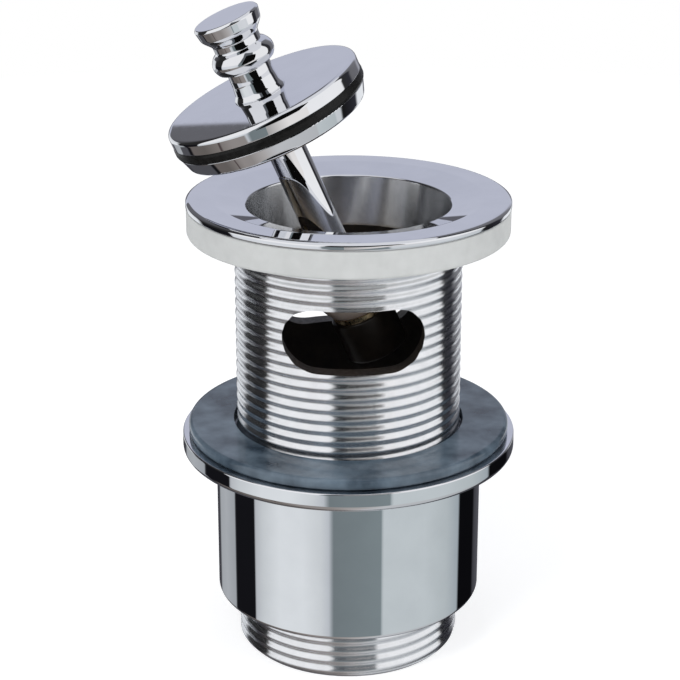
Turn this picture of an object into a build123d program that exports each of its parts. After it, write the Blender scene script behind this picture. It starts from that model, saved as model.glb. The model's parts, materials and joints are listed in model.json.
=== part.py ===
from build123d import *
import os

# Slotted basin waste with a captive plug that lifts and leans. Millimetres, +Z up.
# The origin is the centre of the outlet thread's lower end, on which the part stands.
# The overflow slots face -Y and +Y.

# Both threads are plain cylinders at the major diameter of the 1 1/2 inch pipe thread
THREAD_D = 47.8
THREAD_PLAY = 0.1
TAIL_END = 36.0
TAIL_WALL = 3.9
TAIL_BORE_D = THREAD_D - 2 * TAIL_WALL
TAIL_CHAMFER = 1.2

# Flange that shows in the basin, dished towards the mouth
FLANGE_D = 67.6
FLANGE_TOP = 99.4
FLANGE_EDGE_T = 1.6
FLANGE_DISH = 1.5
FLANGE_RIM_W = 5.8
MOUTH_FLARE = 1.35
MOUTH_D = TAIL_BORE_D + 2 * MOUTH_FLARE
SEAT_DEPTH = 12.0

# Overflow slots, of which the one at the back (+Y) sits lower
SLOT_W = 28.9
SLOT_H = 13.5
SLOT_Z = 75.3
BACK_SLOT_DROP = 3.8

# White seal under the flange
SEAL_D = FLANGE_D - 0.2
SEAL_HOLE_D = THREAD_D + 1.2
SEAL_BOTTOM = 91.95

# Lower body, screwed up on the tail
HOUSING_WALL = 4.45
HOUSING_D = THREAD_D + 2 * THREAD_PLAY + 2 * HOUSING_WALL
HOUSING_BOTTOM = 11.5
HOUSING_FLOOR = 16.0
CLAMP_D = 71.1
CLAMP_TOP = 48.0
CLAMP_T = 4.0
OUTLET_WALL = 3.9
OUTLET_BORE_D = THREAD_D - 2 * OUTLET_WALL

# Rubber gasket on the lower body
GASKET_D = CLAMP_D - 2.7
GASKET_HOLE_D = THREAD_D + 1.4
GASKET_T = 2.5

# Guide bridge across the tail, with the socket of the ball that the stem slides in
PIVOT_Z = 80.15
BRIDGE_W = 8.0
BRIDGE_BELOW = 2.0
BRIDGE_ABOVE = 4.0
BRIDGE_SEAT = 0.8
BALL_D = 16.0
HUB_WALL = 3.5
HUB_D = BALL_D + 2 * HUB_WALL
BALL_HALF = 5.6
SLEEVE_D = 10.2
STEM_D = 8.0
RUNNING_PLAY = 0.05

# Plug, laid out along its own axis with the rim's top at height 0
DISC_PLAY = 0.6
DISC_D = MOUTH_D - 2 * DISC_PLAY
UPPER_RIM = 3.05
RING_T = 2.0
LOWER_RIM = 3.3
DISH_DEPTH = 4.0
WEB_T = 1.6
GROOVE_DEPTH = 2.4
DISC_TAPER = 1.1
BOSS_T = 1.2
STUD_D = 5.0

# Knob and collar
KNOB_TOP = 17.0
KNOB_D = 13.8
BEAD_D = 13.9
BEAD_LOW = 6.15
BEAD_HIGH = 10.5
NECK_D = 9.8
NECK_HIGH = 12.2
WAIST_D = 9.15
FLARE_D = 9.8
COLLAR_D = 9.5

# Foot of the stem, which stops the plug from coming out
FOOT_TOP = 52.4
FOOT_D = 13.4
FOOT_H = 9.5
SPIGOT_L = 3.0
WASHER_D = 12.2
WASHER_T = 0.95
STOP_GAP = 0.05
SCREW_D = 3.4
SCREW_HEAD_D = 7.2
SCREW_HEAD_H = 2.4
SCREW_PLAY = 0.2

# Pose in the photo: lifted until the foot stops under the ball, and leaning
LIFT = FOOT_TOP - WASHER_T - STOP_GAP - BALL_HALF
LEAN = 23.6
LEAN_TO_FRONT = 9.2

os.makedirs("parts", exist_ok=True)


def lathe(points):
    """A turned solid from (radius, height) or (radius, height, corner radius) points."""
    face = make_face(Plane.XZ * Polyline(*[p[:2] for p in points], close=True))
    for radius, height, rounding in [p for p in points if len(p) == 3]:
        corner = face.vertices().sort_by_distance((radius, 0, height))[0]
        face = fillet(corner, rounding)
    return revolve(face, Axis.Z, 360)


def rod(diameter, low, high):
    bottom_centred = (Align.CENTER, Align.CENTER, Align.MIN)
    return Pos(0, 0, low) * Cylinder(diameter / 2, high - low, align=bottom_centred)


def tube(outer_d, hole_d, low, high):
    return rod(outer_d, low, high) - rod(hole_d, low, high)


def flange_underside(radius):
    """Height of the flange's conical underside, which the seal's top follows."""
    slope = FLANGE_DISH / (FLANGE_D / 2 - MOUTH_D / 2)
    return FLANGE_TOP - FLANGE_EDGE_T - slope * (FLANGE_D / 2 - radius)


def make_waste_body():
    """Flange, conical mouth and slotted tail, with two keyways for the guide bridge."""
    outer = FLANGE_D / 2
    thread = THREAD_D / 2
    bore = TAIL_BORE_D / 2
    body = lathe([
        (outer - FLANGE_RIM_W, FLANGE_TOP, 3.0),
        (outer - 0.7, FLANGE_TOP, 1.2),
        (outer, FLANGE_TOP - 0.5, 0.4),
        (outer, FLANGE_TOP - FLANGE_EDGE_T, 0.4),
        (thread, flange_underside(thread)),
        (thread, TAIL_END + TAIL_CHAMFER),
        (thread - TAIL_CHAMFER, TAIL_END),
        (bore, TAIL_END),
        (bore, FLANGE_TOP - SEAT_DEPTH, 3.0),
        (MOUTH_D / 2, FLANGE_TOP - FLANGE_DISH, 0.5),
    ])
    slot_bar = extrude(Plane.XZ * SlotOverall(SLOT_W, SLOT_H), thread + 1)
    body -= Pos(0, 0, SLOT_Z) * slot_bar
    body -= Pos(0, 0, SLOT_Z - BACK_SLOT_DROP) * Rot(0, 0, 180) * slot_bar
    keyway_top = PIVOT_Z + BRIDGE_ABOVE
    keyway = Box(TAIL_BORE_D + 2 * BRIDGE_SEAT, BRIDGE_W, keyway_top - TAIL_END)
    return body - Pos(0, 0, (keyway_top + TAIL_END) / 2) * keyway


def make_guide_bridge():
    """A bar from keyway to keyway, with the ball's socket in the hub at its middle."""
    low = PIVOT_Z - BRIDGE_BELOW
    high = PIVOT_Z + BRIDGE_ABOVE
    hub = rod(HUB_D, low, high)
    hub = chamfer(hub.edges().filter_by(GeomType.CIRCLE), 0.6)
    bar = Box(TAIL_BORE_D + 2 * BRIDGE_SEAT, BRIDGE_W, high - low)
    socket = Sphere(BALL_D / 2 + RUNNING_PLAY)
    return hub + Pos(0, 0, (low + high) / 2) * bar - Pos(0, 0, PIVOT_Z) * socket


def make_swivel_ball():
    ball = Sphere(BALL_D / 2) & Box(BALL_D, BALL_D, 2 * BALL_HALF)
    return ball - rod(SLEEVE_D, -BALL_HALF, BALL_HALF)


def make_stem_sleeve():
    outer_d = SLEEVE_D - 2 * RUNNING_PLAY
    return tube(outer_d, STEM_D + 2 * RUNNING_PLAY, -BALL_HALF, BALL_HALF)


def make_flange_seal():
    outer = SEAL_D / 2
    hole = SEAL_HOLE_D / 2
    return lathe([
        (hole, SEAL_BOTTOM),
        (outer, SEAL_BOTTOM, 0.8),
        (outer, flange_underside(outer), 0.3),
        (hole, flange_underside(hole)),
    ])


def make_clamp_gasket():
    outer = GASKET_D / 2
    hole = GASKET_HOLE_D / 2
    return lathe([
        (hole, CLAMP_TOP),
        (outer, CLAMP_TOP, 0.9),
        (outer, CLAMP_TOP + GASKET_T, 0.9),
        (hole, CLAMP_TOP + GASKET_T),
    ])


def make_housing():
    """Clamp flange, cylinder and outlet thread, bored to run on the tail's thread."""
    clamp = CLAMP_D / 2
    clamp_low = CLAMP_TOP - CLAMP_T
    wall = HOUSING_D / 2
    thread = THREAD_D / 2
    nut = thread + THREAD_PLAY
    outlet = OUTLET_BORE_D / 2
    return lathe([
        (nut + 0.8, CLAMP_TOP),
        (clamp, CLAMP_TOP, 0.6),
        (clamp, clamp_low, 1.3),
        (wall, clamp_low - 0.3, 0.5),
        (wall, HOUSING_BOTTOM, 0.8),
        (thread, HOUSING_BOTTOM, 0.3),
        (thread, 0.5),
        (thread - 0.5, 0),
        (outlet + 0.4, 0),
        (outlet, 0.4),
        (outlet, HOUSING_FLOOR, 0.8),
        (nut, HOUSING_FLOOR + 1.0, 0.6),
        (nut, CLAMP_TOP - 0.8),
    ])


def make_upper_disc():
    """The chromed dish with its rim, and the groove's inner wall."""
    rim = DISC_D / 2
    groove = rim - GROOVE_DEPTH
    web_low = -DISH_DEPTH - WEB_T
    return lathe([
        (STUD_D / 2, -DISH_DEPTH),
        (COLLAR_D / 2 + 0.8, -DISH_DEPTH, 4.0),
        (rim, 0, 1.0),
        (rim, -UPPER_RIM, 0.2),
        (groove, -UPPER_RIM),
        (groove, web_low),
        (STUD_D / 2, web_low),
    ])


def make_lower_disc():
    """The plate that closes the groove from below and guides the plug into the mouth."""
    rim = DISC_D / 2 - 0.3
    groove = DISC_D / 2 - GROOVE_DEPTH
    web_low = -DISH_DEPTH - WEB_T
    rim_top = -UPPER_RIM - RING_T
    low = rim_top - LOWER_RIM
    boss = STEM_D / 2 + 2.0
    return lathe([
        (STUD_D / 2, web_low),
        (groove, web_low),
        (groove, rim_top),
        (rim, rim_top, 0.2),
        (rim - DISC_TAPER, low, 0.8),
        (boss + 2.5, low, 1.0),
        (boss, low - BOSS_T, 0.5),
        (STUD_D / 2, low - BOSS_T),
    ])


def make_plug_ring():
    """The O-ring, pressed flat between the two discs."""
    outer = DISC_D / 2
    inner = outer - GROOVE_DEPTH
    top = -UPPER_RIM
    low = top - RING_T
    return lathe([
        (inner, top),
        (outer - 0.2, top, 0.15),
        (outer, top - 0.5, 0.4),
        (outer, low + 0.5, 0.4),
        (outer - 0.2, low, 0.15),
        (inner, low),
    ])


def make_knob():
    """Flat-topped head, neck, bead and flared waist, turned in one piece."""
    head = KNOB_D / 2
    bead = BEAD_D / 2
    neck = NECK_D / 2
    waist = WAIST_D / 2
    flare = FLARE_D / 2
    shape = lathe([
        (0, 0.2),
        (flare, 0.2, 0.3),
        (flare, 0.9, 1.2),
        (waist, 3.3, 3.0),
        (waist, BEAD_LOW, 0.4),
        (bead - 1.1, BEAD_LOW + 0.1, 1.0),
        (bead, BEAD_LOW + 2.2, 2.2),
        (bead - 1.2, BEAD_HIGH - 0.4, 1.2),
        (neck, BEAD_HIGH + 0.2, 0.6),
        (neck, NECK_HIGH, 0.6),
        (head - 1.2, NECK_HIGH + 0.5, 1.2),
        (head, NECK_HIGH + 2.4, 2.0),
        (head, KNOB_TOP, 0.5),
        (0, KNOB_TOP),
    ])
    return shape - rod(STUD_D, 0.2, BEAD_LOW)


def make_knob_collar():
    outer = COLLAR_D / 2
    return lathe([
        (STUD_D / 2, -DISH_DEPTH),
        (outer, -DISH_DEPTH, 0.3),
        (outer, 0.2, 0.3),
        (STUD_D / 2, 0.2),
    ])


def make_stem():
    """The rod, and the stud at its top that holds discs, collar and knob."""
    rod_top = -UPPER_RIM - RING_T - LOWER_RIM - BOSS_T
    stem = rod(STEM_D, -FOOT_TOP - SPIGOT_L, rod_top) + rod(STUD_D, rod_top, BEAD_LOW)
    return stem - rod(SCREW_D, -FOOT_TOP - SPIGOT_L, -FOOT_TOP + SPIGOT_L)


def make_foot():
    """The dark foot, bored for the stem's spigot and for the screw from below."""
    low = -FOOT_TOP - FOOT_H
    foot = lathe([
        (0, low),
        (FOOT_D / 2, low, 0.8),
        (FOOT_D / 2, -FOOT_TOP, 0.4),
        (0, -FOOT_TOP),
    ])
    foot -= rod(STEM_D, -FOOT_TOP - SPIGOT_L, -FOOT_TOP)
    foot -= rod(SCREW_D + 2 * SCREW_PLAY, low, -FOOT_TOP)
    return foot - rod(SCREW_HEAD_D + 2 * SCREW_PLAY, low, low + SCREW_HEAD_H + SCREW_PLAY)


def make_foot_screw():
    head_low = -FOOT_TOP - FOOT_H + SCREW_PLAY
    head_top = head_low + SCREW_HEAD_H
    head = rod(SCREW_HEAD_D, head_low, head_top)
    head -= Pos(0, 0, head_low) * Box(SCREW_HEAD_D, 1.0, 1.8)
    return head + rod(SCREW_D, head_top, -FOOT_TOP + SPIGOT_L - SCREW_PLAY)


def make_stop_washer():
    return tube(WASHER_D, STEM_D + 2 * RUNNING_PLAY, -FOOT_TOP, -FOOT_TOP + WASHER_T)


# The plug leans towards -X, turned a little to the front, about the ball's centre
leaning = Pos(0, 0, PIVOT_Z) * Rot(0, 0, LEAN_TO_FRONT) * Rot(0, -LEAN, 0)
lifted = leaning * Pos(0, 0, LIFT)

nodes = {
    "waste_body": make_waste_body(),
    "guide_bridge": make_guide_bridge(),
    "flange_seal": make_flange_seal(),
    "clamp_gasket": make_clamp_gasket(),
    "housing": make_housing(),
    "swivel_ball": leaning * make_swivel_ball(),
    "stem_sleeve": leaning * make_stem_sleeve(),
    "stop_washer": lifted * make_stop_washer(),
    "foot": lifted * make_foot(),
    "foot_screw": lifted * make_foot_screw(),
    "stem": lifted * make_stem(),
    "plug_lower_disc": lifted * make_lower_disc(),
    "plug_o_ring": lifted * make_plug_ring(),
    "plug_upper_disc": lifted * make_upper_disc(),
    "knob_collar": lifted * make_knob_collar(),
    "knob": lifted * make_knob(),
}

for name, solid in nodes.items():
    export_step(solid, f"parts/{name}.step")
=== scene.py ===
import bmesh
import bpy
import json
import math
from mathutils import Matrix, Vector


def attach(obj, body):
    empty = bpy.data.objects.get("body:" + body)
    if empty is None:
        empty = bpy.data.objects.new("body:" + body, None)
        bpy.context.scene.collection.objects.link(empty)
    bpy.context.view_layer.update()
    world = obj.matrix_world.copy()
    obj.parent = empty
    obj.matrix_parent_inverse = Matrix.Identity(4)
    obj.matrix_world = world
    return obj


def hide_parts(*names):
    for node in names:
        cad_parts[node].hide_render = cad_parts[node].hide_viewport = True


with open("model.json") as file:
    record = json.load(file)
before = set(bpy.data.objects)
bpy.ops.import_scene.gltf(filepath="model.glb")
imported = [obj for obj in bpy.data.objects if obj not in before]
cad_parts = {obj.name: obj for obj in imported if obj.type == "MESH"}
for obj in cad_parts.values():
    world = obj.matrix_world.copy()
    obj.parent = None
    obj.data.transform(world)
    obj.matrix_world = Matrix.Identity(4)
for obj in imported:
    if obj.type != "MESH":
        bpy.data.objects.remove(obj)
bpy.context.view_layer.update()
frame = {"nodes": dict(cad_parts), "record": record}

# Slotted basin waste with a captive plug that stands lifted and leaning. The origin is the middle of the
# outlet's lower end and +Z is up. The object's sizes are in millimetres, the studio's in metres.
MM = 0.001

# Colours of the studio that the chrome reflects
STUDIO_TURN = -2.8
BACKDROP = (0.54, 0.56, 0.66)
SHADE = (0.12, 0.12, 0.14)
DUSK = (0.14, 0.14, 0.155)
OVERHEAD = (0.80, 0.81, 0.84)
MID_GREY = (0.21, 0.245, 0.255)
BLACK = (0.008, 0.008, 0.010)
WHITE = (1.0, 1.0, 1.0)

# The studio round the object, from the table up to the ceiling, as (azimuth, colour) stops in degrees,
# 0 at the camera and growing to the right
TABLE_STOPS = [
    (-180, (0.08, 0.08, 0.09)),
    (-119, (0.09, 0.09, 0.10)),
    (-116.5, BLACK),
    (-112, BLACK),
    (-109, (0.16, 0.14, 0.13)),
    (-84, (0.15, 0.135, 0.125)),
    (-59, (0.24, 0.215, 0.20)),
    (-57.5, (0.08, 0.06, 0.06)),
    (-55.5, (0.08, 0.06, 0.06)),
    (-54, (0.25, 0.225, 0.21)),
    (-38, (0.33, 0.30, 0.285)),
    (-14, (0.32, 0.295, 0.28)),
    (11, (0.48, 0.455, 0.44)),
    (30, (0.60, 0.61, 0.62)),
    (110, (0.50, 0.52, 0.53)),
    (112, (0.05, 0.05, 0.06)),
    (180, (0.08, 0.08, 0.09)),
]
LOW_STOPS = [
    (-180, SHADE),
    (-170, (0.05, 0.05, 0.06)),
    (-155, (0.06, 0.06, 0.07)),
    (-151, (0.40, 0.42, 0.44)),
    (-135, (0.46, 0.48, 0.50)),
    (-118, (0.40, 0.42, 0.44)),
    (-116.5, BLACK),
    (-89.5, BLACK),
    (-88.5, (0.56, 0.58, 0.60)),
    (-80, (0.68, 0.71, 0.72)),
    (-62, (0.84, 0.87, 0.88)),
    (-40, (0.84, 0.87, 0.88)),
    (-24, (0.72, 0.75, 0.76)),
    (-17, (0.60, 0.63, 0.66)),
    (-13, (0.20, 0.235, 0.245)),
    (28.5, (0.235, 0.28, 0.29)),
    (30, (0.62, 0.67, 0.68)),
    (70, (0.62, 0.67, 0.68)),
    (95, (0.53, 0.58, 0.59)),
    (112, (0.40, 0.45, 0.48)),
    (113, (0.004, 0.004, 0.005)),
    (141, (0.004, 0.004, 0.005)),
    (146, (0.06, 0.06, 0.07)),
    (180, SHADE),
]
SILL_STOPS = [
    (-180, SHADE),
    (-160, (0.30, 0.30, 0.32)),
    (-155, (0.90, 0.92, 0.94)),
    (-130, (0.90, 0.92, 0.94)),
    (-123, BLACK),
    (-89.5, BLACK),
    (-88, (0.82, 0.84, 0.87)),
    (-20, (0.82, 0.84, 0.87)),
    (-18, MID_GREY),
    (27, MID_GREY),
    (29, (0.72, 0.74, 0.76)),
    (70, (0.78, 0.80, 0.82)),
    (104, (0.66, 0.69, 0.71)),
    (107, (0.01, 0.01, 0.01)),
    (133, (0.03, 0.03, 0.04)),
    (138, (0.90, 0.92, 0.94)),
    (160, (0.90, 0.92, 0.94)),
    (166, SHADE),
    (180, SHADE),
]
MIDDLE_STOPS = [
    (-180, SHADE),
    (-162, SHADE),
    (-155, (0.80, 0.82, 0.84)),
    (-130, (0.80, 0.82, 0.84)),
    (-123, (0.03, 0.03, 0.03)),
    (-90, (0.02, 0.02, 0.02)),
    (-88, WHITE),
    (-20, WHITE),
    (-18, MID_GREY),
    (27, MID_GREY),
    (29, WHITE),
    (105, WHITE),
    (107, (0.02, 0.02, 0.02)),
    (123, (0.03, 0.03, 0.04)),
    (128, (0.15, 0.15, 0.16)),
    (150, (0.17, 0.17, 0.19)),
    (158, (0.42, 0.43, 0.48)),
    (168, SHADE),
    (180, SHADE),
]
HIGH_STOPS = [
    (-180, BACKDROP),
    (-166.5, BACKDROP),
    (-165.5, DUSK),
    (-150, DUSK),
    (-118, (0.03, 0.03, 0.03)),
    (-90, (0.02, 0.02, 0.02)),
    (-88, WHITE),
    (-18, WHITE),
    (-16, (0.12, 0.13, 0.14)),
    (27, (0.12, 0.13, 0.14)),
    (29, WHITE),
    (105, WHITE),
    (107, (0.03, 0.03, 0.03)),
    (123, (0.03, 0.03, 0.04)),
    (128, (0.15, 0.15, 0.16)),
    (150, (0.20, 0.20, 0.22)),
    (158, BACKDROP),
    (180, BACKDROP),
]
CEILING_STOPS = [(-180, OVERHEAD), (180, OVERHEAD)]

# Elevation at which each layer above the table starts, and the height of the soft edge between two
LAYERS = [
    (-30.2, LOW_STOPS),
    (-20.5, SILL_STOPS),
    (-8, MIDDLE_STOPS),
    (3.9, HIGH_STOPS),
    (58, CEILING_STOPS),
]
LAYER_EDGE = 0.8

# The backdrop behind the object ends on the left in a slanted edge through this azimuth and elevation
BACKDROP_CORNER = (-162.35, 14.12)
BACKDROP_SLOPE = 1.06
BACKDROP_BLUR = 0.08

# Two cards close in front, which only the plug and the flange's edge reflect: a light strip, darker
# on its left, and a black one behind and above it. Corners are (x, z), in metres.
CARD_COLOUR = (1.0, 0.97, 0.94)
CARD_FRONT = -0.12
CARD_GAP = 0.001
STRIP_CORNERS = [(-0.012, 0.061), (0.105, 0.092), (0.105, 0.125), (-0.012, 0.087)]
STRIP_LEVELS = (0.46, 0.92)
BLACK_CORNERS = [(-0.036, 0.081), (0.073, 0.115), (0.073, 0.250), (-0.036, 0.250)]
BLACK_LEVELS = (0.004, 0.004)
LEVEL_CHANGE = (-0.010, 0.035)

# Camera, from the outline of the object in the 680 x 680 photograph
IMAGE = 680
FOCAL_PIXELS = 1866.0
SENSOR = 36.0
CAMERA_PITCH = 18.18
CAMERA_TURN = -2.8
CAMERA_BACK = 372.1 * MM
CAMERA_SIDE = -1.79 * MM
CAMERA_ABOVE_FLANGE = 105.5 * MM
CAMERA_SHIFT = -0.1

# Plain light on the object, and the floor that it stands on, in metres and watts
AMBIENT = (0.55, 0.56, 0.58)
KEY_PLACE = (-0.35, -0.45, 0.60)
KEY_SIZE = 0.35
KEY_POWER = 2.0
FILL_PLACE = (0.50, -0.30, 0.40)
FILL_SIZE = 0.40
FILL_POWER = 1.0
FLOOR_COLOUR = (0.8, 0.8, 0.8)
FLOOR_GLOW = 0.5
FLOOR_RADIUS = 0.6
FLOOR_SIDES = 64

# Meshes: directions round an axis, arcs, slot ends, supported flats, sharp edges and what is one point
ROUND = 192
ARC_STEP = math.radians(14)
SLOT_END_STEPS = 24
SUPPORT = 0.12
LONG_RUN = 8 * SUPPORT
SHARP = math.radians(38)
MERGE = 1e-7

# Noise of a finish: its detail, the part of its range in use, and how much finer its relief is
NOISE_DETAIL = 4.0
NOISE_LOW = 0.3
NOISE_HIGH = 0.7
FINER = 5
MARKS_STRENGTH = 1.0
MARKS_TURN = 0.25

# Threads of the tail and the outlet: the 1 1/2 inch pipe thread, soft and shallow. A crest's height is
# its middle's, in front, and the front is three quarters of a turn round from +X.
THREAD_D = 47.8
THREAD_PITCH = 25.4 / 11
THREAD_DEPTH = 0.45
THREAD_STEPS = 12
THREAD_END_DEPTH = 1.2
THREAD_OUTER = THREAD_D / 2 + 0.1
TAIL_CREST = 68.0
TAIL_CHAMFER = 1.2
OUTLET_CREST = 4.0
OUTLET_CHAMFER = 1.0
FRONT_TURN = 0.75

# Waste body
TAIL_END = 36.0
TAIL_BORE_D = 40.0
FLANGE_D = 67.6
FLANGE_TOP = 99.4
FLANGE_EDGE_T = 1.6
FLANGE_EDGE_ROUND = 0.4
FLANGE_CROWN_W = 0.7
FLANGE_CROWN_H = 0.5
FLANGE_CROWN_ROUND = 1.2
FLANGE_RIM_W = 5.8
FLANGE_DISH = 1.5
FLANGE_DISH_ROUND = 3.0
MOUTH_D = 42.7
MOUTH_ROUND = 0.5
SEAT_DEPTH = 12.0
SEAT_ROUND = 3.0
SLOT_W = 28.9
SLOT_H = 13.5
SLOT_Z = 75.3
BACK_SLOT_DROP = 3.8
KEYWAY_W = 8.0
KEYWAY_D = 41.6
KEYWAY_TOP = 84.15
KEYWAY_OVERRUN = 2.0

# What tells the faces of the threaded pieces apart: radii and heights, and how far a cut's face, or
# the mouth's, points round Z or along it
FACE_SLACK = 0.05
THREAD_BAND = 1.4
THREAD_BELOW_FLANGE = 3.0
BORE_BRIGHT = 86.0
CUT_ROUND_Z = 0.2
CUT_ALONG_Z = 0.95
MOUTH_ALONG_Z = 0.5

# Lower body
HOUSING_D = 56.9
HOUSING_BOTTOM = 11.5
HOUSING_LOW_ROUND = 0.8
HOUSING_HIGH_ROUND = 0.5
HOUSING_FLOOR = 16.0
HOUSING_FLOOR_SLOPE = 1.0
HOUSING_FLOOR_ROUND = 0.6
CLAMP_D = 71.1
CLAMP_TOP = 48.0
CLAMP_T = 4.0
CLAMP_SLOPE = 0.3
CLAMP_LOW_ROUND = 1.3
CLAMP_TOP_ROUND = 0.3
NUT_CHAMFER = 0.8
OUTLET_BORE_D = 40.0
OUTLET_BORE_ROUND = 0.8
OUTLET_BORE_CHAMFER = 0.4

# Plug, along its own axis with the rim's top at height 0, and its pose at rest
DISC_D = 41.5
UPPER_RIM = 3.05
RIM_POLISH = 0.12
RIM_LOW_ROUND = 0.2
RIM_TOP_ROUND = 1.0
WEB_LOW = 5.6
GROOVE_DEPTH = 2.4
STUD_D = 5.0
PIVOT_Z = 80.15
LIFT = 45.8
LEAN = 23.6
LEAN_TO_FRONT = 9.2

# Knob, from the disc up: a thin skirt, a flared waist, a bead, a neck and the head
KNOB_GAP = 0.02
SKIRT_D = 10.8
SKIRT_TOP = 0.3
SKIRT_ROUND = 0.12
WAIST_D = 9.15
FLARE_W = 0.25
FLARE_TOP = 1.2
FLARE_ROUND = 0.8
WAIST_LOW = 3.3
WAIST_ROUND = 3.0
BEAD_D = 13.9
BEAD_LOW = 6.15
BEAD_HIGH = 10.5
BEAD_ROOT_ROUND = 0.4
BEAD_UNDER_W = 1.1
BEAD_UNDER_H = 0.1
BEAD_UNDER_ROUND = 1.0
BEAD_SIDE_H = 2.2
BEAD_SIDE_ROUND = 2.2
BEAD_OVER_W = 1.2
BEAD_OVER_H = 0.4
BEAD_OVER_ROUND = 1.2
NECK_D = 9.8
NECK_HIGH = 12.2
NECK_LOW_H = 0.2
NECK_LOW_ROUND = 0.6
NECK_HIGH_ROUND = 0.4
KNOB_D = 13.8
KNOB_TOP = 17.0
HEAD_UNDER_W = 1.7
HEAD_UNDER_H = 0.5
HEAD_UNDER_ROUND = 0.9
HEAD_SIDE_W = 0.4
HEAD_SIDE_H = 2.0
HEAD_SIDE_ROUND = 1.8
HEAD_EDGE_W = 0.35
HEAD_EDGE_H = 0.5
HEAD_EDGE_ROUND = 0.25


def node_tree(owner):
    """The emptied node tree of a material or a world."""
    owner.use_nodes = True
    tree = owner.node_tree
    tree.nodes.clear()
    return tree


def add(tree, kind, **values):
    """A node of that kind, with its properties and input sockets set by name."""
    node = tree.nodes.new(kind)
    for name, value in values.items():
        if hasattr(node, name):
            setattr(node, name, value)
        else:
            node.inputs[name.replace("_", " ")].default_value = value
    return node


def maths(tree, operation, first, second=None):
    node = add(tree, "ShaderNodeMath", operation=operation)
    for socket, value in zip(node.inputs, (first, second)):
        if isinstance(value, (int, float)):
            socket.default_value = value
        elif value is not None:
            tree.links.new(value, socket)
    return node.outputs[0]


def mixed(tree, factor, first, second):
    """The first colour at factor 0 and the second at 1."""
    node = add(tree, "ShaderNodeMix", data_type="RGBA")
    colours = [socket for socket in node.inputs if socket.type == "RGBA"]
    tree.links.new(factor, node.inputs[0])
    for socket, value in zip(colours, (first, second)):
        if isinstance(value, tuple):
            socket.default_value = (*value, 1)
        else:
            tree.links.new(value, socket)
    return [socket for socket in node.outputs if socket.type == "RGBA"][0]


def mixed_shader(tree, factor, first, second):
    node = add(tree, "ShaderNodeMixShader")
    for socket, value in zip(node.inputs, (factor, first, second)):
        tree.links.new(value, socket)
    return node.outputs[0]


def ranged(tree, value, low, high, from_low=NOISE_LOW, from_high=NOISE_HIGH):
    """The value taken from one range to another, and held at its ends."""
    node = add(tree, "ShaderNodeMapRange")
    node.inputs["From Min"].default_value = from_low
    node.inputs["From Max"].default_value = from_high
    node.inputs["To Min"].default_value = low
    node.inputs["To Max"].default_value = high
    tree.links.new(value, node.inputs["Value"])
    return node.outputs[0]


def show(tree, shader, kind="ShaderNodeOutputMaterial"):
    """That shader becomes the surface of the material or world."""
    output = add(tree, kind)
    tree.links.new(shader, output.inputs["Surface"])


def ring_colours(tree, azimuth, stops):
    """A colour ramp round the horizon through (azimuth, colour) stops in degrees."""
    ramp = add(tree, "ShaderNodeValToRGB")
    elements = ramp.color_ramp.elements
    elements.remove(elements[1])
    elements[0].color = (*stops[0][1], 1)
    for angle, colour in stops[1:]:
        elements.new((angle + 180) / 360).color = (*colour, 1)
    tree.links.new(azimuth, ramp.inputs[0])
    return ramp.outputs[0]


def studio_direction(tree):
    """The azimuth, from 0 to 1 starting behind the object, and the elevation in degrees."""
    place = add(tree, "ShaderNodeTexCoord")
    turn = add(tree, "ShaderNodeVectorRotate", rotation_type="Z_AXIS", Angle=math.radians(-STUDIO_TURN))
    tree.links.new(place.outputs["Generated"], turn.inputs["Vector"])
    split = add(tree, "ShaderNodeSeparateXYZ")
    tree.links.new(turn.outputs[0], split.inputs[0])
    towards_camera = maths(tree, "MULTIPLY", split.outputs["Y"], -1.0)
    azimuth = maths(tree, "ARCTAN2", split.outputs["X"], towards_camera)
    azimuth = maths(tree, "ADD", maths(tree, "DIVIDE", azimuth, 2 * math.pi), 0.5)
    elevation = maths(tree, "MULTIPLY", maths(tree, "ARCSINE", split.outputs["Z"]), 180 / math.pi)
    return azimuth, elevation


def on_backdrop(tree, azimuth, elevation):
    """1 on the backdrop's side of its slanted edge and 0 beyond it."""
    slant = maths(tree, "ADD", maths(tree, "MULTIPLY", azimuth, 360 * BACKDROP_SLOPE), elevation)
    edge = BACKDROP_CORNER[1] + BACKDROP_SLOPE * (BACKDROP_CORNER[0] + 180)
    return ranged(tree, slant, 1, 0, edge - BACKDROP_BLUR, edge + BACKDROP_BLUR)


def studio_colour(tree):
    """The studio's colour in each direction, one layer above the other."""
    azimuth, elevation = studio_direction(tree)
    behind = on_backdrop(tree, azimuth, elevation)
    colour = ring_colours(tree, azimuth, TABLE_STOPS)
    for start, stops in LAYERS:
        above = ring_colours(tree, azimuth, stops)
        if stops is HIGH_STOPS:
            above = mixed(tree, behind, above, BACKDROP)
        rise = ranged(tree, elevation, 0, 1, start - LAYER_EDGE / 2, start + LAYER_EDGE / 2)
        colour = mixed(tree, rise, colour, above)
    return colour


def make_world():
    """Plain light for the surfaces, white behind the object, and the studio in reflections."""
    world = bpy.data.worlds.new("studio")
    bpy.context.scene.world = world
    tree = node_tree(world)
    rays = add(tree, "ShaderNodeLightPath")
    plain = add(tree, "ShaderNodeBackground", Color=(*AMBIENT, 1), Strength=1.0)
    white = add(tree, "ShaderNodeBackground", Color=(*WHITE, 1), Strength=1.0)
    studio = add(tree, "ShaderNodeBackground", Strength=1.0)
    tree.links.new(studio_colour(tree), studio.inputs["Color"])
    seen = maths(tree, "MAXIMUM", rays.outputs["Is Camera Ray"], rays.outputs["Is Transmission Ray"])
    backed = mixed_shader(tree, seen, plain.outputs[0], white.outputs[0])
    shader = mixed_shader(tree, rays.outputs["Is Glossy Ray"], backed, studio.outputs[0])
    show(tree, shader, "ShaderNodeOutputWorld")


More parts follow.
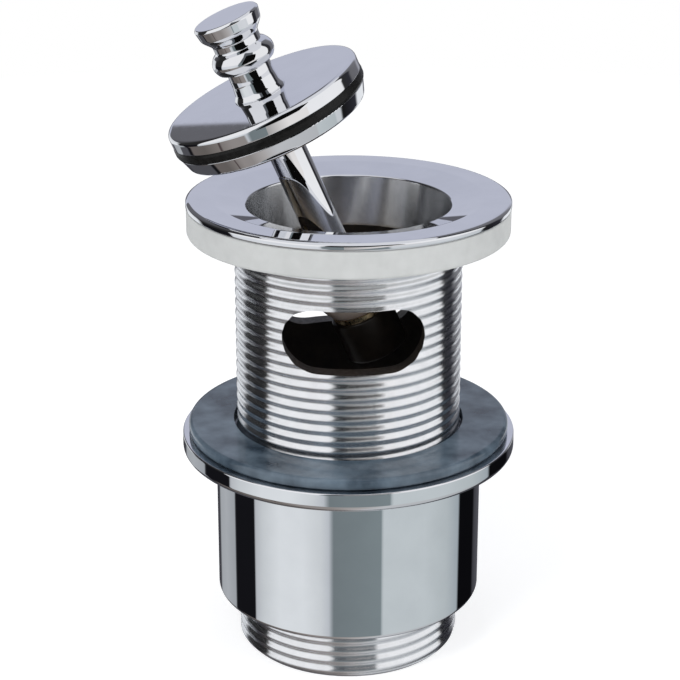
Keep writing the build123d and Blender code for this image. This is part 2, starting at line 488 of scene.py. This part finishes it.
def corner_arc(before, here, after, radius):
    """Points of the arc that rounds the corner here, between the corners before and after it."""
    back = (before - here).normalized()
    ahead = (after - here).normalized()
    half = back.angle(ahead) / 2
    centre = here + (back + ahead).normalized() * radius / math.sin(half)
    first = here + back * radius / math.tan(half) - centre
    last = here + ahead * radius / math.tan(half) - centre
    start = math.atan2(first.y, first.x)
    turn = math.remainder(math.atan2(last.y, last.x) - start, 2 * math.pi)
    steps = max(2, math.ceil(abs(turn) / ARC_STEP))
    angles = [start + turn * step / steps for step in range(steps + 1)]
    return [centre + radius * Vector((math.cos(angle), math.sin(angle))) for angle in angles]


def rounded(corners):
    """The outline through (radius, height) corners, with an arc where a corner gives a rounding."""
    places = [Vector(corner[:2]) for corner in corners]
    outline = []
    for index, corner in enumerate(corners):
        if len(corner) == 2:
            outline.append(places[index])
        else:
            after = places[(index + 1) % len(places)]
            outline.extend(corner_arc(places[index - 1], places[index], after, corner[2]))
    return outline


def supported(outline, closed=True):
    """The outline with a point close to each end of its long runs, so that flats shade flat."""
    points = []
    for index, here in enumerate(outline):
        run = outline[(index + 1) % len(outline)] - here
        points.append(here)
        if run.length > LONG_RUN and (closed or index < len(outline) - 1):
            points.append(here + run.normalized() * SUPPORT)
            points.append(here + run - run.normalized() * SUPPORT)
    return points


def piece_from(name, graph, material):
    """A smooth piece with sharp edges, from a mesh graph that it uses up."""
    mesh = bpy.data.meshes.new(name)
    bmesh.ops.recalc_face_normals(graph, faces=graph.faces)
    graph.to_mesh(mesh)
    graph.free()
    mesh.shade_smooth()
    mesh.set_sharp_from_angle(angle=SHARP)
    mesh.materials.append(material)
    piece = bpy.data.objects.new(name, mesh)
    bpy.context.scene.collection.objects.link(piece)
    return piece


def revolved(columns):
    """A closed skin through one closed (radius, height) outline for each direction round Z."""
    graph = bmesh.new()
    rings = []
    for number, outline in enumerate(columns):
        angle = 2 * math.pi * number / (len(columns) - 1)
        across = Vector((math.cos(angle), math.sin(angle), 0))
        rings.append([graph.verts.new(across * r * MM + Vector((0, 0, z * MM))) for r, z in outline])
    count = len(rings[0])
    for left, right in zip(rings, rings[1:]):
        for index in range(count):
            following = (index + 1) % count
            graph.faces.new((left[index], right[index], right[following], left[following]))
    bmesh.ops.remove_doubles(graph, verts=graph.verts, dist=MERGE)
    bmesh.ops.dissolve_degenerate(graph, edges=graph.edges, dist=MERGE)
    return graph


def turned(name, corners, material):
    """A turned piece from its outline's (radius, height, rounding) corners."""
    outline = supported(rounded(corners))
    return piece_from(name, revolved([outline] * (ROUND + 1)), material)


def thread_rows(lead, turns, low, high, chamfer):
    """(radius, height) points up a right-hand thread from low to high, in one direction round Z.

    lead is the height of one crest's middle in that direction, and chamfer the cut at the low end.
    """
    rows = []
    for step in range(turns[0] * THREAD_STEPS, turns[1] * THREAD_STEPS):
        z = min(max(lead + step * THREAD_PITCH / THREAD_STEPS, low), high)
        wave = (1 - math.cos(2 * math.pi * (z - lead) / THREAD_PITCH)) / 2
        rows.append((THREAD_D / 2 - max(THREAD_DEPTH * wave, low + chamfer - z), z))
    return rows


def threaded(name, corners, crest, chamfer, material):
    """A turned piece whose outline is closed by a thread, from its last corner up to its first."""
    low = corners[-1][1]
    high = corners[0][1]
    plain = supported(rounded(corners), closed=False)
    turns = (math.floor((low - crest) / THREAD_PITCH) - 1, math.ceil((high - crest) / THREAD_PITCH) + 2)
    columns = []
    for number in range(ROUND + 1):
        lead = crest + THREAD_PITCH * (number / ROUND - FRONT_TURN)
        columns.append([*plain, *thread_rows(lead, turns, low, high, chamfer)])
    return piece_from(name, revolved(columns), material)


def mottling(tree, place, size):
    """Noise over the object, with details of that size in metres."""
    noise = add(tree, "ShaderNodeTexNoise", Scale=1 / size, Detail=NOISE_DETAIL)
    tree.links.new(place, noise.inputs["Vector"])
    return noise.outputs[0]


def add_relief(tree, shader, height, depth):
    relief = add(tree, "ShaderNodeBump", Strength=1.0, Distance=depth)
    tree.links.new(height, relief.inputs["Height"])
    tree.links.new(relief.outputs[0], shader.inputs["Normal"])


def add_lathe_marks(tree, shader):
    """Fine marks round Z, which draw reflections out along the axis."""
    marks = add(tree, "ShaderNodeTangent", direction_type="RADIAL", axis="Z")
    tree.links.new(marks.outputs[0], shader.inputs["Tangent"])
    shader.inputs["Anisotropic"].default_value = MARKS_STRENGTH
    shader.inputs["Anisotropic Rotation"].default_value = MARKS_TURN


def finish(name, colours, roughness, grain, bump=0.0, lathe_marks=False, **sockets):
    """A material with mottled colour and roughness, and a fine relief.

    colours and roughness are the two ends of their range, grain the size of the mottling and bump
    the depth of the relief, both in metres.
    """
    material = bpy.data.materials.new(name)
    tree = node_tree(material)
    place = add(tree, "ShaderNodeTexCoord").outputs["Object"]
    shader = add(tree, "ShaderNodeBsdfPrincipled", **sockets)
    tone = ranged(tree, mottling(tree, place, grain), 0, 1)
    tree.links.new(mixed(tree, tone, *colours), shader.inputs["Base Color"])
    fine = mottling(tree, place, grain / FINER)
    tree.links.new(ranged(tree, fine, *roughness), shader.inputs["Roughness"])
    if bump:
        add_relief(tree, shader, fine, bump)
    if lathe_marks:
        add_lathe_marks(tree, shader)
    show(tree, shader.outputs[0])
    return material


def prism(name, outline, near, far, material):
    """A solid between the (x, z) outline at y = near and y = far."""
    graph = bmesh.new()
    front = [graph.verts.new((x * MM, near * MM, z * MM)) for x, z in outline]
    back = [graph.verts.new((x * MM, far * MM, z * MM)) for x, z in outline]
    graph.faces.new(front)
    graph.faces.new(reversed(back))
    for index in range(len(outline)):
        following = (index + 1) % len(outline)
        graph.faces.new((front[index], back[index], back[following], front[following]))
    return piece_from(name, graph, material)


def cut(piece, cutters):
    """The piece less its cutters, which go."""
    for cutter in cutters:
        modifier = piece.modifiers.new("cut", "BOOLEAN")
        modifier.operation = "DIFFERENCE"
        modifier.solver = "EXACT"
        modifier.object = cutter
    evaluated = piece.evaluated_get(bpy.context.evaluated_depsgraph_get())
    mesh = bpy.data.meshes.new_from_object(evaluated)
    piece.modifiers.clear()
    piece.data = mesh
    for cutter in cutters:
        bpy.data.objects.remove(cutter)
    mesh.shade_smooth()
    mesh.set_sharp_from_angle(angle=SHARP)


def paint(piece, materials, choose):
    """Each face takes the material whose number choose gives.

    choose knows the radius and height of the face's middle, and how far the face points round Z and
    along it, from 0 to 1.
    """
    piece.data.materials.clear()
    for material in materials:
        piece.data.materials.append(material)
    for face in piece.data.polygons:
        outward = Vector((face.center.x, face.center.y, 0))
        round_z = abs(outward.normalized().cross(face.normal).z)
        along_z = abs(face.normal.z)
        face.material_index = choose(outward.length / MM, face.center.z / MM, round_z, along_z)


def on_thread(radius):
    return THREAD_D / 2 - THREAD_BAND < radius < THREAD_D / 2 + FACE_SLACK


def waste_finish(radius, height, round_z, along_z):
    """0 for chrome, 1 for the bore and slots in tarnished brass darkened with painted shade, 2 for the
    satin mouth, 3 for the thread.
    """
    in_bore = radius < TAIL_BORE_D / 2 + FACE_SLACK
    in_cut = round_z > CUT_ROUND_Z or along_z > CUT_ALONG_Z
    # Bore and slot faces below this height take the tarnished brass darkened to paint their shade
    if height < BORE_BRIGHT and (in_bore or in_cut):
        return 1
    if on_thread(radius) and height < FLANGE_TOP - THREAD_BELOW_FLANGE:
        return 3
    in_mouth = radius < MOUTH_D / 2 and along_z < MOUTH_ALONG_Z
    return 2 if in_mouth else 0


def housing_finish(radius, height, round_z, along_z):
    """0 for chrome, 1 for the outlet thread, whichever way the face points."""
    return 1 if on_thread(radius) and height < HOUSING_BOTTOM else 0


def flange_underside(radius):
    """The height of the flange's underside, which follows its dished top."""
    slope = FLANGE_DISH / (FLANGE_D / 2 - MOUTH_D / 2)
    return FLANGE_TOP - FLANGE_EDGE_T - slope * (FLANGE_D / 2 - radius)


def waste_corners():
    """From the thread's top out round the flange, and down the mouth and the bore to the tail's end."""
    rim = FLANGE_D / 2
    bore = TAIL_BORE_D / 2
    return [
        (THREAD_OUTER, flange_underside(THREAD_OUTER)),
        (rim, FLANGE_TOP - FLANGE_EDGE_T, FLANGE_EDGE_ROUND),
        (rim, FLANGE_TOP - FLANGE_CROWN_H, FLANGE_EDGE_ROUND),
        (rim - FLANGE_CROWN_W, FLANGE_TOP, FLANGE_CROWN_ROUND),
        (rim - FLANGE_RIM_W, FLANGE_TOP, FLANGE_DISH_ROUND),
        (MOUTH_D / 2, FLANGE_TOP - FLANGE_DISH, MOUTH_ROUND),
        (bore, FLANGE_TOP - SEAT_DEPTH, SEAT_ROUND),
        (bore, TAIL_END),
        (THREAD_D / 2 - THREAD_END_DEPTH, TAIL_END),
    ]


def slot_outline(middle):
    """An overflow slot with its middle at that height: a stadium in the (x, z) plane."""
    radius = SLOT_H / 2
    reach = SLOT_W / 2 - radius
    points = []
    for side, start in ((1, -math.pi / 2), (-1, math.pi / 2)):
        for step in range(SLOT_END_STEPS + 1):
            angle = start + math.pi * step / SLOT_END_STEPS
            points.append((side * reach + radius * math.cos(angle), middle + radius * math.sin(angle)))
    return points


def tail_cutters(material):
    """The two overflow slots, and the keyway for the bar across the tail."""
    front = prism("front_slot", slot_outline(SLOT_Z), -THREAD_D, 0, material)
    back = prism("back_slot", slot_outline(SLOT_Z - BACK_SLOT_DROP), 0, THREAD_D, material)
    side = KEYWAY_D / 2
    low = TAIL_END - KEYWAY_OVERRUN
    outline = [(-side, low), (side, low), (side, KEYWAY_TOP), (-side, KEYWAY_TOP)]
    keyway = prism("keyway", outline, -KEYWAY_W / 2, KEYWAY_W / 2, material)
    return front, back, keyway


def make_waste_body(chrome, inside, mouth, thread):
    """Flange, mouth and slotted tail with its thread."""
    body = threaded("waste_shell", waste_corners(), TAIL_CREST, TAIL_CHAMFER, chrome)
    cut(body, tail_cutters(inside))
    paint(body, (chrome, inside, mouth, thread), waste_finish)
    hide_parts("waste_body")
    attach(body, "waste")


def housing_corners():
    """From the outlet thread's top out round the wall and the clamp flange, and down the bore."""
    wall = HOUSING_D / 2
    clamp = CLAMP_D / 2
    clamp_low = CLAMP_TOP - CLAMP_T
    outlet = OUTLET_BORE_D / 2
    return [
        (THREAD_OUTER, HOUSING_BOTTOM),
        (wall, HOUSING_BOTTOM, HOUSING_LOW_ROUND),
        (wall, clamp_low - CLAMP_SLOPE, HOUSING_HIGH_ROUND),
        (clamp, clamp_low, CLAMP_LOW_ROUND),
        (clamp, CLAMP_TOP, CLAMP_TOP_ROUND),
        (THREAD_OUTER + NUT_CHAMFER, CLAMP_TOP),
        (THREAD_OUTER, CLAMP_TOP - NUT_CHAMFER),
        (THREAD_OUTER, HOUSING_FLOOR + HOUSING_FLOOR_SLOPE, HOUSING_FLOOR_ROUND),
        (outlet, HOUSING_FLOOR, OUTLET_BORE_ROUND),
        (outlet, OUTLET_BORE_CHAMFER),
        (outlet + OUTLET_BORE_CHAMFER, 0),
        (THREAD_D / 2 - THREAD_END_DEPTH, 0),
    ]


def make_housing(chrome, thread):
    """Lower body: clamp flange, cylinder and the outlet's thread."""
    housing = threaded("lower_body", housing_corners(), OUTLET_CREST, OUTLET_CHAMFER, chrome)
    paint(housing, (chrome, thread), housing_finish)
    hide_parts("housing")
    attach(housing, "housing")


def plug_piece(name, corners, material):
    """A turned piece of the plug, placed on its leaning axis at rest."""
    piece = turned(name, corners, material)
    pivot = Matrix.Translation((0, 0, PIVOT_Z * MM))
    front = Matrix.Rotation(math.radians(LEAN_TO_FRONT), 4, "Z")
    lean = Matrix.Rotation(-math.radians(LEAN), 4, "Y")
    piece.data.transform(pivot @ front @ lean @ Matrix.Translation((0, 0, LIFT * MM)))
    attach(piece, "plug")
    return piece


def disc_corners():
    """The flat upper disc: its hole, the groove under its rim, and the rim with a rounded edge."""
    rim = DISC_D / 2 - RIM_POLISH
    groove = rim - GROOVE_DEPTH
    hole = STUD_D / 2
    return [
        (hole, -WEB_LOW),
        (groove, -WEB_LOW),
        (groove, -UPPER_RIM),
        (rim, -UPPER_RIM, RIM_LOW_ROUND),
        (rim, 0, RIM_TOP_ROUND),
        (hole, 0),
    ]


def knob_corners():
    skirt = SKIRT_D / 2
    waist = WAIST_D / 2
    bead = BEAD_D / 2
    neck = NECK_D / 2
    head = KNOB_D / 2
    return [
        (0, KNOB_GAP),
        (skirt, KNOB_GAP),
        (skirt, SKIRT_TOP, SKIRT_ROUND),
        (waist + FLARE_W, FLARE_TOP, FLARE_ROUND),
        (waist, WAIST_LOW, WAIST_ROUND),
        (waist, BEAD_LOW, BEAD_ROOT_ROUND),
        (bead - BEAD_UNDER_W, BEAD_LOW + BEAD_UNDER_H, BEAD_UNDER_ROUND),
        (bead, BEAD_LOW + BEAD_SIDE_H, BEAD_SIDE_ROUND),
        (bead - BEAD_OVER_W, BEAD_HIGH - BEAD_OVER_H, BEAD_OVER_ROUND),
        (neck, BEAD_HIGH + NECK_LOW_H, NECK_LOW_ROUND),
        (neck, NECK_HIGH, NECK_HIGH_ROUND),
        (head - HEAD_UNDER_W, NECK_HIGH + HEAD_UNDER_H, HEAD_UNDER_ROUND),
        (head - HEAD_SIDE_W, NECK_HIGH + HEAD_SIDE_H, HEAD_SIDE_ROUND),
        (head, KNOB_TOP - HEAD_EDGE_H, HEAD_EDGE_ROUND),
        (head - HEAD_EDGE_W, KNOB_TOP, HEAD_EDGE_ROUND),
        (0, KNOB_TOP),
    ]


def make_plug(chrome):
    disc = plug_piece("plug_plate", disc_corners(), chrome)
    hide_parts("plug_upper_disc", "knob_collar")
    knob = plug_piece("turned_knob", knob_corners(), chrome)
    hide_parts("knob")


def make_card(name, corners, front, levels):
    """An upright card that only reflections see; its level changes from left to right."""
    material = bpy.data.materials.new(name)
    tree = node_tree(material)
    split = add(tree, "ShaderNodeSeparateXYZ")
    tree.links.new(add(tree, "ShaderNodeTexCoord").outputs["Object"], split.inputs[0])
    glow = add(tree, "ShaderNodeEmission", Color=(*CARD_COLOUR, 1))
    tree.links.new(ranged(tree, split.outputs["X"], *levels, *LEVEL_CHANGE), glow.inputs["Strength"])
    show(tree, glow.outputs[0])
    graph = bmesh.new()
    graph.faces.new([graph.verts.new((x, front, z)) for x, z in corners])
    card = piece_from(name, graph, material)
    card.visible_camera = False
    card.visible_diffuse = False
    card.visible_shadow = False
    card.visible_transmission = False


def make_floor():
    """A pale floor that takes the object's shadow and stays out of reflections."""
    material = bpy.data.materials.new("floor")
    tree = node_tree(material)
    rays = add(tree, "ShaderNodeLightPath")
    diffuse = add(tree, "ShaderNodeBsdfDiffuse", Color=(*FLOOR_COLOUR, 1))
    glow = add(tree, "ShaderNodeEmission", Color=(*WHITE, 1), Strength=FLOOR_GLOW)
    both = add(tree, "ShaderNodeAddShader")
    tree.links.new(diffuse.outputs[0], both.inputs[0])
    tree.links.new(glow.outputs[0], both.inputs[1])
    clear = add(tree, "ShaderNodeBsdfTransparent")
    show(tree, mixed_shader(tree, rays.outputs["Is Glossy Ray"], both.outputs[0], clear.outputs[0]))
    graph = bmesh.new()
    bmesh.ops.create_circle(graph, cap_ends=True, segments=FLOOR_SIDES, radius=FLOOR_RADIUS)
    piece_from("floor", graph, material)


def make_lamp(name, place, size, power):
    """A soft round lamp aimed at the object's middle, which reflections don't see."""
    data = bpy.data.lights.new(name, "AREA")
    data.shape = "DISK"
    data.size = size
    data.energy = power
    lamp = bpy.data.objects.new(name, data)
    lamp.location = place
    aim = Vector((0, 0, FLANGE_TOP * MM / 2)) - lamp.location
    lamp.rotation_euler = aim.to_track_quat("-Z", "Y").to_euler()
    lamp.visible_glossy = False
    lamp.visible_camera = False
    bpy.context.scene.collection.objects.link(lamp)


def make_camera():
    data = bpy.data.cameras.new("camera")
    data.sensor_width = SENSOR
    data.lens = FOCAL_PIXELS / IMAGE * SENSOR
    data.shift_y = CAMERA_SHIFT
    camera = bpy.data.objects.new("camera", data)
    bpy.context.scene.collection.objects.link(camera)
    turn = Matrix.Rotation(math.radians(CAMERA_TURN), 4, "Z")
    height = FLANGE_TOP * MM + CAMERA_ABOVE_FLANGE
    camera.location = turn @ Vector((CAMERA_SIDE, -CAMERA_BACK, height))
    camera.rotation_euler = (math.radians(90 - CAMERA_PITCH), 0, math.radians(CAMERA_TURN))
    bpy.context.scene.camera = camera


# Metals
chrome = finish(
    "chrome",
    colours=((0.76, 0.77, 0.80), (0.80, 0.81, 0.84)),
    roughness=(0.010, 0.022),
    grain=6 * MM,
    Metallic=1.0,
)
satin = finish(
    "satin",
    colours=((0.62, 0.63, 0.65), (0.70, 0.71, 0.73)),
    roughness=(0.20, 0.26),
    grain=3 * MM,
    lathe_marks=True,
    Metallic=1.0,
)
thread_chrome = finish(
    "thread_chrome",
    colours=((0.80, 0.81, 0.84), (0.86, 0.87, 0.90)),
    roughness=(0.19, 0.23),
    grain=3 * MM,
    lathe_marks=True,
    Metallic=1.0,
)
# Tarnished brass for the lower bore and the slots, its colour darkened further to paint the shade inside
# the tail
tarnish_and_shade = finish(
    "tarnish_and_shade",
    colours=((0.010, 0.008, 0.007), (0.028, 0.020, 0.015)),
    roughness=(0.45, 0.65),
    grain=4 * MM,
    bump=0.02 * MM,
)
brass = finish(
    "brass",
    colours=((0.50, 0.38, 0.22), (0.62, 0.49, 0.31)),
    roughness=(0.2, 0.4),
    grain=3 * MM,
    Metallic=1.0,
)
steel = finish(
    "steel",
    colours=((0.50, 0.50, 0.50), (0.62, 0.62, 0.62)),
    roughness=(0.25, 0.4),
    grain=2 * MM,
    Metallic=1.0,
)

# Rubbers and plastics
seal = finish(
    "white_seal",
    colours=((0.53, 0.54, 0.53), (0.58, 0.59, 0.58)),
    roughness=(0.40, 0.55),
    grain=3 * MM,
    bump=0.01 * MM,
)
slate = finish(
    "slate_rubber",
    colours=((0.020, 0.034, 0.052), (0.15, 0.20, 0.25)),
    roughness=(0.12, 0.22),
    grain=8 * MM,
    bump=0.02 * MM,
)
black = finish(
    "black_rubber",
    colours=((0.003, 0.003, 0.003), (0.008, 0.008, 0.008)),
    roughness=(0.3, 0.45),
    grain=1 * MM,
    Specular_IOR_Level=0.2,
)
# Pinkish brown plastic: an off-white tone darkened to paint the shade it lies in inside the tail
plastic = finish(
    "plastic",
    colours=((0.30, 0.23, 0.19), (0.42, 0.34, 0.29)),
    roughness=(0.35, 0.5),
    grain=4 * MM,
)
dark = finish(
    "dark_plastic",
    colours=((0.012, 0.009, 0.007), (0.025, 0.018, 0.014)),
    roughness=(0.3, 0.45),
    grain=2 * MM,
    bump=0.01 * MM,
)
SLOT_FINISHES = {
    "chrome": chrome,
    "white_seal": seal,
    "slate_rubber": slate,
    "black_rubber": black,
    "brass": brass,
    "plastic": plastic,
    "dark_plastic": dark,
    "steel": steel,
}

for subpart in frame["record"]["subparts"]:
    for slot in frame["nodes"][subpart["node"]].material_slots:
        slot.material = SLOT_FINISHES[subpart["material_slot"]]

make_waste_body(chrome, tarnish_and_shade, satin, thread_chrome)
make_housing(chrome, thread_chrome)
make_plug(chrome)
make_card("light_strip", STRIP_CORNERS, CARD_FRONT, STRIP_LEVELS)
make_card("black_card", BLACK_CORNERS, CARD_FRONT - CARD_GAP, BLACK_LEVELS)
make_floor()
make_world()
make_lamp("key", KEY_PLACE, KEY_SIZE, KEY_POWER)
make_lamp("fill", FILL_PLACE, FILL_SIZE, FILL_POWER)
make_camera()

bpy.context.scene.view_settings.view_transform = "Standard"
